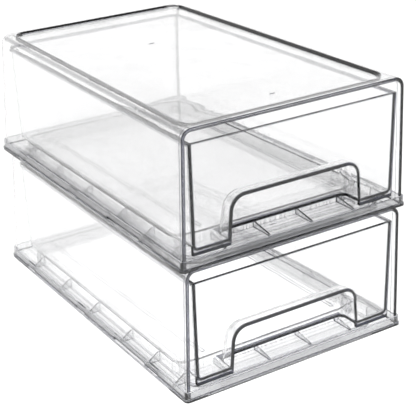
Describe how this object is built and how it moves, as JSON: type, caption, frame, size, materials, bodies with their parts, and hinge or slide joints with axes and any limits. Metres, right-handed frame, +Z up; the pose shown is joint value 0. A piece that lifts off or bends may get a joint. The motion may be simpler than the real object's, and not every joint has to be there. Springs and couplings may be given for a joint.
{
  "type": "fridge bin",
  "caption": "Stack of clear pull-out fridge bins: hooded trays nested one on the other, each with a sliding drawer and an arched finger pocket.",
  "frame": {"origin": "middle of the footprint, on the surface that the stack stands on", "axes": "+X across the width to the viewer's right, -Y out of the drawer fronts, +Z up"},
  "size_m": [0.2278, 0.346, 0.2339],
  "materials": {
    "clear_base": "clear moulded, polished",
    "clear_hood": "clear moulded, polished",
    "clear_drawer": "clear moulded, polished"
  },
  "bodies": {
    "lower_housing": {"lower_base": "clear_base", "lower_hood": "clear_hood"},
    "lower_drawer": {"lower_drawer": "clear_drawer"},
    "upper_housing": {"upper_base": "clear_base", "upper_hood": "clear_hood"},
    "upper_drawer": {"upper_drawer": "clear_drawer"}
  },
  "joints": [
    {"name": "lower_drawer_slide", "type": "slide", "parent": "lower_housing", "child": "lower_drawer", "axis": [0, -1, 0], "range_m": [0, 0.26]},
    {"name": "upper_tier_lift", "type": "slide", "parent": "lower_housing", "child": "upper_housing", "axis": [0, 0, 1], "range_m": [0, 0.04]},
    {"name": "upper_drawer_slide", "type": "slide", "parent": "upper_housing", "child": "upper_drawer", "axis": [0, -1, 0], "range_m": [0, 0.26]}
  ]
}
